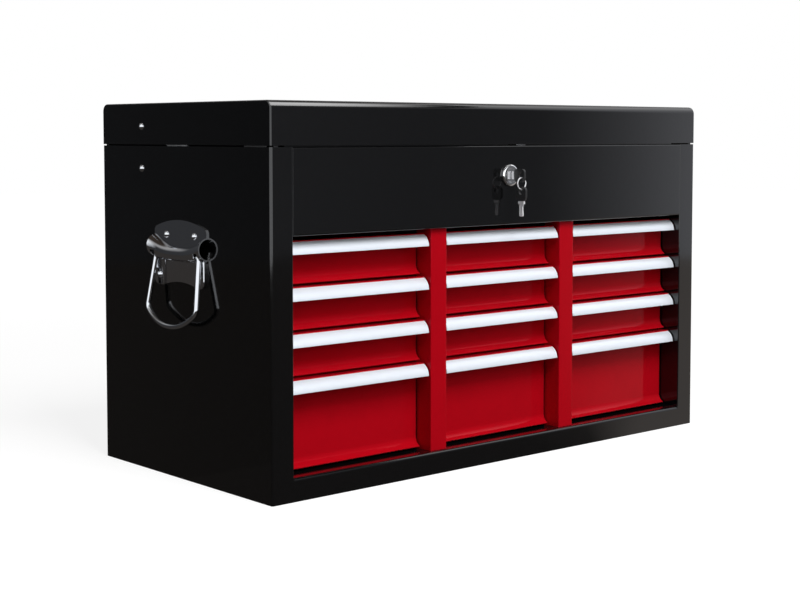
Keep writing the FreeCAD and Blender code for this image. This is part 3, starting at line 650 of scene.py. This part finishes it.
def refined(node: str, material: bpy.types.Material, width: float = 0.0) -> None:
    """Replaces a CAD node by a copy with rounded edges and smooth curves.

    Args:
        node: The CAD node's name.
        material: The finish.
        width: The rounding of its edges, in metres, or 0 for none.
    """
    shape = cad_copy(node)
    if width:
        soften(shape, width)
    body = frame["nodes"][node]["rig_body"]
    piece = finished(node + "_piece", shape, body, material, ROUNDED if width else SHARP)
    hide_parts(node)


@dataclass
class Cabinet:
    """The folded body with its front panel, liners, partitions, posts, floors and runners."""

    finishes: Finishes
    edge: float = 0.25 * MM

    def build(self) -> None:
        """Builds and dresses the cabinet."""
        for node in ("body_shell", "upper_panel"):
            refined(node, self.finishes.black, self.edge)
        for node in ("base_pan", "compartment_floor", "liner_left", "liner_right", "partition_left",
                     "partition_right"):
            refined(node, self.finishes.inner)
        for side in Side:
            refined("centre_post_" + side.word, self.finishes.red, self.edge)
        for column in Column:
            refined("runners_" + column.value, self.finishes.zinc)


@dataclass
class SeamShadeStrips:
    """Dark strips put behind the seam of the lid so that no light shows through it: painted shade made as
    pieces.
    """

    finishes: Finishes
    low: float = 296.0 * MM
    rear_top: float = 306.0 * MM
    front_top: float = 304.5 * MM
    rear_face: float = 133.0 * MM
    thickness: float = 1.5 * MM
    rear_half: float = 276.4 * MM
    side_face: float = 279.0 * MM
    side_from: float = -127.5 * MM
    side_to: float = -96.0 * MM
    front_face: float = -133.9 * MM
    front_from: float = 271.4 * MM
    front_to: float = 275.5 * MM
    lip_share: float = 0.25
    lip_segments: int = 3

    def build(self) -> None:
        """Builds the rear strip and the two strips at each front corner."""
        # Painted shade: dark strips set where light would show through the seam, to keep the seam dark.
        self.add_strip("seam_strip_rear", (-self.rear_half, self.rear_face - self.thickness, self.low),
                       (self.rear_half, self.rear_face, self.rear_top))
        for side in Side:
            faces = sorted((side.value * self.side_face, side.value * (self.side_face - self.thickness)))
            self.add_strip("seam_strip_" + side.word, (faces[0], self.side_from, self.low),
                           (faces[1], self.side_to, self.front_top))
            ends = sorted((side.value * self.front_from, side.value * self.front_to))
            self.add_strip("seam_strip_front_" + side.word, (ends[0], self.front_face, self.low),
                           (ends[1], self.front_face + self.thickness, self.front_top))

    def add_strip(self, name: str, low: Sequence[float], high: Sequence[float]) -> None:
        """Builds one strip between two corners, with rounded edges.

        Args:
            name: The piece's name.
            low: The lowest corner.
            high: The highest corner.
        """
        shape = bmesh.new()
        bmesh.ops.create_cube(shape, size=1)
        bmesh.ops.translate(shape, verts=shape.verts, vec=(0, 0, UNIT_HALF))
        bmesh.ops.scale(shape, verts=shape.verts, vec=[b - a for a, b in zip(low, high)])
        middle = [(a + b) / 2 for a, b in zip(low, high)]
        bmesh.ops.translate(shape, verts=shape.verts, vec=(middle[0], middle[1], low[2]))
        soften(shape, self.thickness * self.lip_share, self.lip_segments)
        finished(name, shape, "root", self.finishes.inner, ROUNDED)


@dataclass
class Lid:
    """The lid, its catch, hinge and stays."""

    finishes: Finishes
    edge: float = 0.25 * MM

    def build(self) -> None:
        """Builds and dresses the lid and what it hangs on."""
        refined("lid_shell", self.finishes.black, self.edge)
        refined("lid_catch", self.finishes.zinc, self.edge)
        for node in ("hinge_leaf_body", "hinge_leaf_lid", "hinge_pin"):
            refined(node, self.finishes.zinc)
        for side in Side:
            for link in ("stay_lower_", "stay_upper_"):
                refined(link + side.word, self.finishes.zinc)
        for node in ("stay_body_rivets", "stay_lid_rivets"):
            refined(node, self.finishes.chrome)


@dataclass
class Drawers:
    """Twelve drawers with their pulls."""

    finishes: Finishes
    edge: float = 0.2 * MM

    def build(self) -> None:
        """Builds and dresses the drawers."""
        for column in Column:
            for row in ROWS:
                name = f"drawer_{column.value}_{row}"
                refined(name + "_tray", self.finishes.red, self.edge)
                refined(name + "_pull", self.finishes.pull, self.edge)


@dataclass
class CamLock:
    """The cam lock with its keys: each has a moulded head on a cut steel blade."""

    finishes: Finishes
    outer_edge: float = 0.2 * MM
    inner_edge: float = 0.15 * MM
    bow_length: float = 13.5 * MM
    collar_length: float = 3.0 * MM
    joint_gap: float = 0.02 * MM
    bow_edge: float = 0.45 * MM
    blade_edge: float = 0.12 * MM
    groove_margin: float = 1.25 * MM
    groove_depth: float = 0.3 * MM
    tooth_shares: tuple[Span, ...] = (
        (0.10, 0.0), (0.20, 0.45), (0.30, 0.10), (0.42, 0.85), (0.54, 0.30), (0.66, 1.0), (0.78, 0.40),
        (0.88, 0.0))
    tooth_depth: float = 1.2 * MM
    near: float = 10 * MERGE
    facing: float = 0.99

    def build(self) -> None:
        """Builds and dresses the lock and the keys."""
        refined("lock_housing", self.finishes.bezel, self.outer_edge)
        refined("lock_plug", self.finishes.bezel, self.inner_edge)
        refined("lock_nut", self.finishes.zinc, self.outer_edge)
        refined("lock_cam", self.finishes.zinc, self.inner_edge)
        refined("key_ring", self.finishes.nickel)
        self.add_key("key_in_lock", Vector((0, 1, 0)), Vector((0, 0, 1)))
        self.add_key("spare_key", Vector((0, 0, -1)), Vector((0, -1, 0)))

    def add_key(self, node: str, ahead: Vector, across: Vector) -> None:
        """Builds a key as a moulded head and a cut blade.

        Args:
            node: The CAD node that the two pieces stand for.
            ahead: The way from the head to the blade's tip.
            across: The way from the blade's back to its teeth.
        """
        head = cad_copy(node)
        blade = head.copy()
        joint = min(v.co.dot(ahead) for v in head.verts) + self.bow_length + self.joint_gap
        self.cut(head, ahead, joint, keep_ahead=False)
        soften(head, self.bow_edge)
        self.cut(blade, ahead, joint, keep_ahead=True)
        self.cut_teeth(blade, ahead, across, joint + self.collar_length)
        soften(blade, self.blade_edge, 1)
        body = frame["nodes"][node]["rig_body"]
        for word, shape, slot, finish in (("head", head, "key_head", self.finishes.plastic),
                                          ("blade", blade, "key_steel", self.finishes.nickel)):
            piece = finished(f"{node}_{word}", shape, body, finish, ROUNDED)
            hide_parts(node)

    @staticmethod
    def cut(shape: bmesh.types.BMesh, ahead: Vector, level: float, keep_ahead: bool) -> None:
        """Cuts a shape across and closes the cut.

        Args:
            shape: The bmesh to cut.
            ahead: The cut's normal.
            level: How far along the normal the cut lies.
            keep_ahead: Whether the half ahead of the cut stays, or else the one behind it.
        """
        everything = [*shape.verts, *shape.edges, *shape.faces]
        bmesh.ops.bisect_plane(shape, geom=everything, plane_co=ahead * level, plane_no=ahead,
                               clear_inner=keep_ahead, clear_outer=not keep_ahead)
        bmesh.ops.holes_fill(shape, edges=[e for e in shape.edges if e.is_boundary], sides=0)

    def cut_teeth(self, shape: bmesh.types.BMesh, ahead: Vector, across: Vector, root: float) -> None:
        """Mills a groove along both sides of a blade and cuts its teeth.

        Args:
            shape: The blade with its collar.
            ahead: The way to the tip.
            across: The way to the teeth.
            root: Where the blade leaves its collar, along the way to the tip.
        """
        flat = ahead.cross(across)
        sides = [f for f in shape.faces
                 if abs(f.normal.dot(flat)) > self.facing and f.calc_center_median().dot(ahead) > root]
        bmesh.ops.inset_individual(shape, faces=sides, thickness=self.groove_margin, depth=0.0)
        for face in sides:
            bmesh.ops.translate(shape, verts=face.verts, vec=face.normal * -self.groove_depth)
        tip = max(v.co.dot(ahead) for v in shape.verts)
        edge = max(v.co.dot(across) for v in shape.verts if v.co.dot(ahead) > (root + tip) / 2)
        for share, depth in self.tooth_shares:
            level = root + share * (tip - root)
            bmesh.ops.bisect_plane(shape, geom=[*shape.verts, *shape.edges, *shape.faces],
                                   plane_co=ahead * level, plane_no=ahead)
            notch = [v for v in shape.verts if abs(v.co.dot(ahead) - level) < self.near
                     and v.co.dot(across) > edge - self.near]
            bmesh.ops.translate(shape, verts=notch, vec=across * (-depth * self.tooth_depth))


@dataclass
class SideHandles:
    """The chrome drop handles: pressed plates with their hoods, the rivets and the wire bails."""

    finishes: Finishes

    def build(self) -> None:
        """Builds and dresses both handles."""
        for side in Side:
            refined("handle_plate_" + side.word, self.finishes.chrome)
            refined("bail_" + side.word, self.finishes.chrome)
        refined("handle_rivets", self.finishes.chrome)


def only_for_gloss(prop: bpy.types.Object) -> None:
    """Hides a studio prop from everything but gloss."""
    prop.visible_camera = False
    prop.visible_diffuse = False
    prop.visible_transmission = False
    prop.visible_shadow = False


@dataclass(frozen=True)
class Floor:
    """A plain pale floor that shows white to the camera and keeps the box's shadow."""

    half: float = 6.0
    drop: float = 0.2 * MM
    paper: Colour = (0.25, 0.25, 0.25)
    fibre: Colour = (0.23, 0.23, 0.23)
    grain: Pattern = Pattern(40.0, 3.0, 0.5)
    grain_share: float = 0.05
    gloss: float = 0.9
    near_glow: Colour = (0.86, 0.86, 0.86)
    glow_step: Span = (0.3, 2.5)

    def build(self) -> None:
        """Builds the floor, whose glow is only for what the camera sees."""
        made, sheet = new_material("floor_paper")
        seen = sheet.seen()
        x, y, _ = sheet.axes()
        glow = sheet.blend(length(x, y).over(*self.glow_step), self.near_glow, WHITE)
        sheet.surface({
            "Base Color": sheet.blend(sheet.noise(self.grain) * self.grain_share, self.paper, self.fibre),
            "Roughness": self.gloss,
            "Emission Color": sheet.blend(seen, BLACK, glow),
            "Emission Strength": 1.0,
            "Specular IOR Level": 0.0,
        })
        shape = bmesh.new()
        bmesh.ops.create_grid(shape, x_segments=1, y_segments=1, size=self.half,
                              matrix=Matrix.Translation((0, 0, -self.drop)))
        new_object("floor", shape, made)


@dataclass(frozen=True)
class Tent:
    """The surroundings that gloss and chrome reflect, as brightness by bearing from -180 to 180 degrees.

    The wall is dark to the left and pale to the right and above. The ground is dark and warm to the left and
    paler to the right. The sky over the rear is dark.
    """

    radius: float = 2.4
    height: float = 2.6
    drop: float = 0.1 * MM
    facets: int = 96
    white: float = 1.7
    wall: tuple[Span, ...] = (
        (-180, 1.0), (-68, 1.0), (-64, 0.10), (-52, 0.07), (-44.5, 0.07), (-40, 0.25), (-36, 0.50),
        (-20, 0.60), (10, 0.50), (30, 0.06), (88, 0.04), (138, 0.027), (150, 1.0), (180, 1.0))
    wall_tint: Colour = (0.95, 0.97, 1.04)
    ground: tuple[Span, ...] = (
        (-180, 0.035), (-66, 0.035), (-48, 0.06), (-36, 0.30), (0, 0.30), (60, 0.15), (90, 0.03), (180, 0.03))
    ground_tint: Colour = (1.0, 0.90, 0.84)
    ground_edge: float = 0.02
    rise_base: float = 0.3
    rise_step: Span = (0.35, 1.1)
    rear_sky: Colour = (0.035, 0.027, 0.022)
    rear_step: Span = (-0.02, 0.22)

    def build(self) -> None:
        """Builds the tent as a closed drum round the box."""
        made, sheet = new_material("tent_cloth")
        x, y, z = sheet.axes()
        turn = sheet.node("ShaderNodeMath", {"operation": "ARCTAN2"}, {0: y, 1: x})
        bearing = sheet.wire(turn) / FULL_TURN + 0.5
        wall, ground = (
            sheet.node("ShaderNodeValToRGB", {"stops": self.stops(table, tint)}, {"Fac": bearing})
            for table, tint in ((self.wall, self.wall_tint), (self.ground, self.ground_tint)))
        high = (z / (length(x, y) + self.rise_base)).over(*self.rise_step)
        low = sheet.blend(z.over(0.0, self.ground_edge), ground.outputs["Color"], wall.outputs["Color"])
        rear = (y / length(x, y, z)).over(*self.rear_step) * high
        sheet.glow(sheet.blend(rear, sheet.blend(high, low, WHITE), self.rear_sky), self.white)
        shape = bmesh.new()
        bmesh.ops.create_cone(shape, cap_ends=True, cap_tris=False, segments=self.facets, radius1=self.radius,
                              radius2=self.radius, depth=self.height,
                              matrix=Matrix.Translation((0, 0, self.height / 2 - self.drop)))
        only_for_gloss(new_object("tent", shape, made))

    @staticmethod
    def stops(table: Sequence[Span], tint: Colour) -> list[tuple[float, Colour]]:
        """The stops of a colour ramp.

        Args:
            table: Bearings in degrees, each with its brightness.
            tint: The colour that a brightness of 1 stands for.

        Returns:
            Each stop's place from 0 to 1 with its colour.
        """
        return [((degrees + 180) / 360, tuple(min(part * bright, 1.0) for part in tint))
                for degrees, bright in table]


@dataclass(frozen=True)
class Softbox:
    """The front softbox as the lid's gloss sees it: a bright sheet that fades out to the right."""

    low: Span = (-1.03, 1.09)
    high: Span = (-0.17, 1.50)
    half_width: float = 1.0
    fade: Span = (0.60, 0.95)
    strength: float = 6.6

    def build(self) -> None:
        """Builds the sheet between two levels, each given as Y and Z, and links it to the lid alone."""
        made, sheet = new_material("softbox_cloth")
        sheet.glow((*WHITE, 1.0), (1.0 - sheet.axes()[0].over(*self.fade)) * self.strength)
        low, high = Vector((0, *self.low)), Vector((0, *self.high))
        half = (high - low) / 2
        shape = bmesh.new()
        bmesh.ops.create_grid(shape, x_segments=1, y_segments=1, size=1)
        bmesh.ops.scale(shape, verts=shape.verts, vec=(self.half_width, half.length, 1))
        bmesh.ops.rotate(shape, verts=shape.verts, cent=(0, 0, 0),
                         matrix=Matrix.Rotation(math.atan2(half.z, half.y), 3, "X"))
        bmesh.ops.translate(shape, verts=shape.verts, vec=(low + high) / 2)
        softbox = new_object("softbox", shape, made)
        only_for_gloss(softbox)
        lit = bpy.data.collections.new("lit_by_softbox")
        lit.objects.link(bpy.data.objects["lid_shell_piece"])
        softbox.light_linking.receiver_collection = lit


@dataclass(frozen=True)
class Lamp:
    """A soft square lamp, with its side in metres and its power in watts."""

    name: str
    place: tuple[float, float, float]
    side: float
    power: float
    target: tuple[float, float, float] = (0.0, -0.1, 0.15)

    def build(self) -> None:
        """Builds the lamp, which gloss doesn't show."""
        data = bpy.data.lights.new(self.name, "AREA")
        data.shape = "SQUARE"
        data.size = self.side
        data.energy = self.power
        lamp = bpy.data.objects.new(self.name, data)
        lamp.location = self.place
        lamp.rotation_mode = "QUATERNION"
        lamp.rotation_quaternion = (Vector(self.target) - Vector(self.place)).to_track_quat("-Z", "Y")
        lamp.visible_glossy = False
        bpy.context.scene.collection.objects.link(lamp)


@dataclass(frozen=True)
class Camera:
    """The camera at the photograph's place."""

    place: tuple[float, float, float] = (-1.0218, -1.1437, 0.3117)
    yaw: float = math.radians(-41.227)
    tilt: float = math.radians(3.5)
    lens: float = 67.94
    sensor: float = 36.0
    shift_up: float = -0.0921
    clip: Span = (0.05, 40.0)

    def build(self, scene: bpy.types.Scene) -> None:
        """Puts the camera in the scene."""
        data = bpy.data.cameras.new("camera")
        data.lens = self.lens
        data.sensor_width = self.sensor
        data.sensor_fit = "HORIZONTAL"
        data.shift_y = self.shift_up
        data.clip_start, data.clip_end = self.clip
        camera = bpy.data.objects.new("camera", data)
        camera.location = self.place
        ahead = Vector((-math.sin(self.yaw) * math.cos(self.tilt), math.cos(self.yaw) * math.cos(self.tilt),
                        -math.sin(self.tilt)))
        camera.rotation_mode = "QUATERNION"
        camera.rotation_quaternion = ahead.to_track_quat("-Z", "Y")
        scene.collection.objects.link(camera)
        scene.camera = camera


@dataclass(frozen=True)
class Studio:
    """The world, the floor, the lamps, what gloss reflects and the camera."""

    even_light: float = 0.1
    lamps: tuple[Lamp, ...] = (
        Lamp("key_lamp", (-0.3, -1.49, 1.88), 1.0, 46.0),
        Lamp("front_lamp", (0.3, -2.4, 1.2), 1.3, 19.0))

    def build(self) -> None:
        """Builds the whole stage."""
        scene = bpy.context.scene
        scene.view_settings.view_transform = "Standard"
        self.add_world(scene)
        Floor().build()
        Tent().build()
        Softbox().build()
        for lamp in self.lamps:
            lamp.build()
        Camera().build(scene)

    def add_world(self, scene: bpy.types.Scene) -> None:
        """White where the camera, metal or glass sees it, and a mild even light elsewhere."""
        world = bpy.data.worlds.new("studio")
        scene.world = world
        world.use_nodes = True
        sheet = NodeSheet(world.node_tree)
        strength = sheet.seen() * (1.0 - self.even_light) + self.even_light
        shader = sheet.node("ShaderNodeBackground", None, {"Color": (*WHITE, 1.0), "Strength": strength})
        sheet.node("ShaderNodeOutputWorld", None, {"Surface": shader.outputs[0]})


def main() -> None:
    """Builds the pieces in order."""
    finishes = Finishes.build()
    for group in (Cabinet, SeamShadeStrips, Lid, Drawers, CamLock, SideHandles):
        group(finishes).build()
    Studio().build()


if __name__ == "__main__":
    main()
